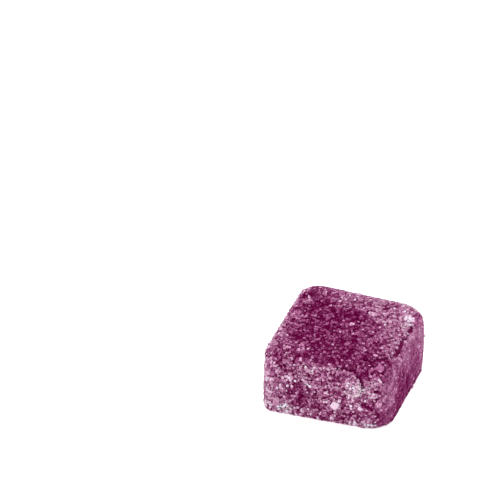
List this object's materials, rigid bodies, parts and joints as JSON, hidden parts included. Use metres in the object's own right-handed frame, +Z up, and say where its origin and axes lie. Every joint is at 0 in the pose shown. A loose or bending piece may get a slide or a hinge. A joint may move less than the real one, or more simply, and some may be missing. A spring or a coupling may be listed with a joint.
{
  "type": "gummy candy",
  "caption": "Square fruit-jelly gummy, a low rounded block slumped a little out of square and crusted all over with granulated sugar crystals.",
  "frame": {"origin": "middle of the foot, on the flat face that the candy stands on, taken as the middle of the square mould", "axes": "+Z up through the candy's thickness, -Y out of the front side, +X out of the right side"},
  "size_m": [0.0222, 0.0228, 0.0114],
  "materials": {
    "sugared_jelly": "soft plum-coloured jelly seen through a crust of clear and white sugar crystals, glittering and rough"
  },
  "bodies": {
    "root": {"gummy": "sugared_jelly"}
  },
  "joints": []
}
